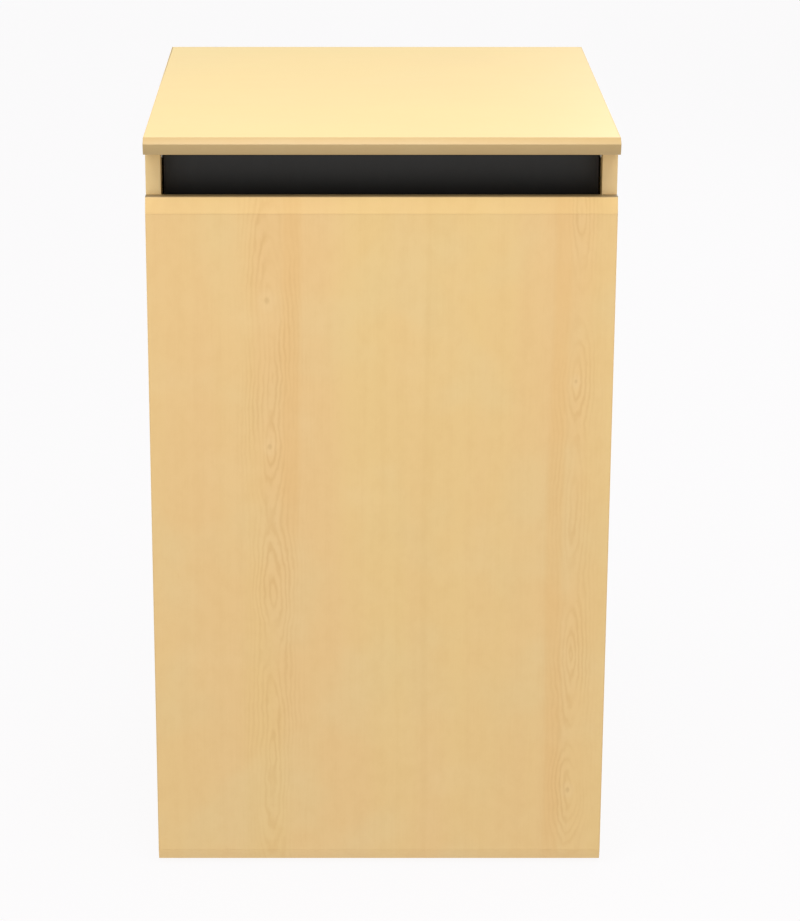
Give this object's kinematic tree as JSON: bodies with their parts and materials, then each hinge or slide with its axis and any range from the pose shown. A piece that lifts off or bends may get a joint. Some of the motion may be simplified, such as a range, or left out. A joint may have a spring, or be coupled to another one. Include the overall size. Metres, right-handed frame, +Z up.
{
  "type": "book drop box",
  "caption": "Free-standing library return cabinet with a flapped slot under its top and a pull-out trolley with a spring platform behind its front panel.",
  "frame": {"origin": "on the floor, at the middle of the footprint", "axes": "+Z up, +Y to the back, +X to the right seen from the front"},
  "size_m": [0.559, 0.61, 0.94],
  "materials": {
    "front_laminate": "satin maple laminate, upright grain",
    "side_laminate": "satin maple laminate, upright grain",
    "top_laminate": "satin maple laminate, grain from side to side",
    "maple_lipping": "clear-lacquered solid maple",
    "maple_edge_band": "clear-lacquered maple edge band",
    "inner_board": "clear-lacquered maple",
    "trolley_plywood": "satin birch plywood",
    "chute_facing": "smooth dark laminate",
    "black_flap": "fine matt texture",
    "black_rubber": "matt",
    "platform_mat": "fluted rubber matting",
    "pivot_steel": "drawn bright bar",
    "nylon": "natural nylon",
    "zinc_screws": "bright zinc plate",
    "zinc_plate": "bright zinc plate",
    "catch_plastic": "black nylon",
    "spring_wire": "oiled spring wire",
    "caster_wheel": "hard nylon wheel"
  },
  "bodies": {
    "cabinet": {"top_panel": "top_laminate", "top_front_lipping": "maple_lipping", "top_edge_bands": "maple_edge_band", "left_side_panel": "side_laminate", "right_side_panel": "side_laminate", "left_side_edge_bands": "maple_edge_band", "right_side_edge_bands": "maple_edge_band", "back_panel": "side_laminate", "rear_top_rail": "inner_board", "back_corner_cleats": "inner_board", "top_brackets": "zinc_plate", "floor_glides": "nylon", "chute_board": "chute_facing", "chute_cleats": "inner_board", "guide_strips": "nylon", "rear_bumpers": "black_rubber", "magnet_catches": "catch_plastic", "flap_bushes": "nylon", "flap_stop_rail": "inner_board", "cabinet_pan_screws": "zinc_screws", "cabinet_flush_screws": "zinc_screws"},
    "flap": {"drop_flap": "black_flap", "flap_edge_trim": "black_rubber", "flap_pivot_rod": "pivot_steel"},
    "trolley": {"front_panel": "front_laminate", "front_top_lipping": "maple_lipping", "front_bottom_lipping": "maple_lipping", "front_side_bands": "maple_edge_band", "catch_strikes": "zinc_plate", "trolley_base": "trolley_plywood", "trolley_left_wall": "trolley_plywood", "trolley_right_wall": "trolley_plywood", "trolley_front_wall": "trolley_plywood", "trolley_rear_wall": "trolley_plywood", "trolley_flush_screws": "zinc_screws", "trolley_pan_screws": "zinc_screws", "spring_hangers": "zinc_plate", "platform_stops": "inner_board", "caster_plates": "zinc_plate", "spring_front_left": "spring_wire", "spring_rear_left": "spring_wire", "spring_front_right": "spring_wire", "spring_rear_right": "spring_wire"},
    "platform": {"platform_board": "trolley_plywood", "platform_mat": "platform_mat", "platform_crossbars": "zinc_plate", "platform_screws": "zinc_screws", "platform_glides": "nylon"},
    "swivel_front_left": {"fork_front_left": "zinc_plate", "axle_front_left": "pivot_steel"},
    "roller_front_left": {"wheel_front_left": "caster_wheel"},
    "swivel_rear_left": {"fork_rear_left": "zinc_plate", "axle_rear_left": "pivot_steel"},
    "roller_rear_left": {"wheel_rear_left": "caster_wheel"},
    "swivel_front_right": {"fork_front_right": "zinc_plate", "axle_front_right": "pivot_steel"},
    "roller_front_right": {"wheel_front_right": "caster_wheel"},
    "swivel_rear_right": {"fork_rear_right": "zinc_plate", "axle_rear_right": "pivot_steel"},
    "roller_rear_right": {"wheel_rear_right": "caster_wheel"}
  },
  "joints": [
    {"name": "flap_swing", "type": "hinge", "parent": "cabinet", "child": "flap", "pos_m": [0, -0.242, 0.912], "axis": [1, 0, 0], "range_deg": [0, 75]},
    {"name": "trolley_slide", "type": "slide", "parent": "cabinet", "child": "trolley", "axis": [0, -1, 0], "range_m": [0, 0.55]},
    {"name": "platform_sink", "type": "slide", "parent": "trolley", "child": "platform", "axis": [0, 0, -1], "range_m": [0, 0.4], "stiffness_N_per_m": 1168, "springref_m": -0.05, "deforming": ["spring_front_left", "spring_rear_left", "spring_front_right", "spring_rear_right"]},
    {"name": "swivel_turn_front_left", "type": "hinge", "parent": "trolley", "child": "swivel_front_left", "pos_m": [-0.195, -0.205, 0.065], "axis": [0, 0, 1], "continuous": true},
    {"name": "wheel_roll_front_left", "type": "hinge", "parent": "swivel_front_left", "child": "roller_front_left", "pos_m": [-0.195, -0.225, 0.025], "axis": [1, 0, 0], "continuous": true},
    {"name": "swivel_turn_rear_left", "type": "hinge", "parent": "trolley", "child": "swivel_rear_left", "pos_m": [-0.195, 0.2, 0.065], "axis": [0, 0, 1], "continuous": true},
    {"name": "wheel_roll_rear_left", "type": "hinge", "parent": "swivel_rear_left", "child": "roller_rear_left", "pos_m": [-0.195, 0.18, 0.025], "axis": [1, 0, 0], "continuous": true},
    {"name": "swivel_turn_front_right", "type": "hinge", "parent": "trolley", "child": "swivel_front_right", "pos_m": [0.195, -0.205, 0.065], "axis": [0, 0, 1], "continuous": true},
    {"name": "wheel_roll_front_right", "type": "hinge", "parent": "swivel_front_right", "child": "roller_front_right", "pos_m": [0.195, -0.225, 0.025], "axis": [1, 0, 0], "continuous": true},
    {"name": "swivel_turn_rear_right", "type": "hinge", "parent": "trolley", "child": "swivel_rear_right", "pos_m": [0.195, 0.2, 0.065], "axis": [0, 0, 1], "continuous": true},
    {"name": "wheel_roll_rear_right", "type": "hinge", "parent": "swivel_rear_right", "child": "roller_rear_right", "pos_m": [0.195, 0.18, 0.025], "axis": [1, 0, 0], "continuous": true}
  ]
}
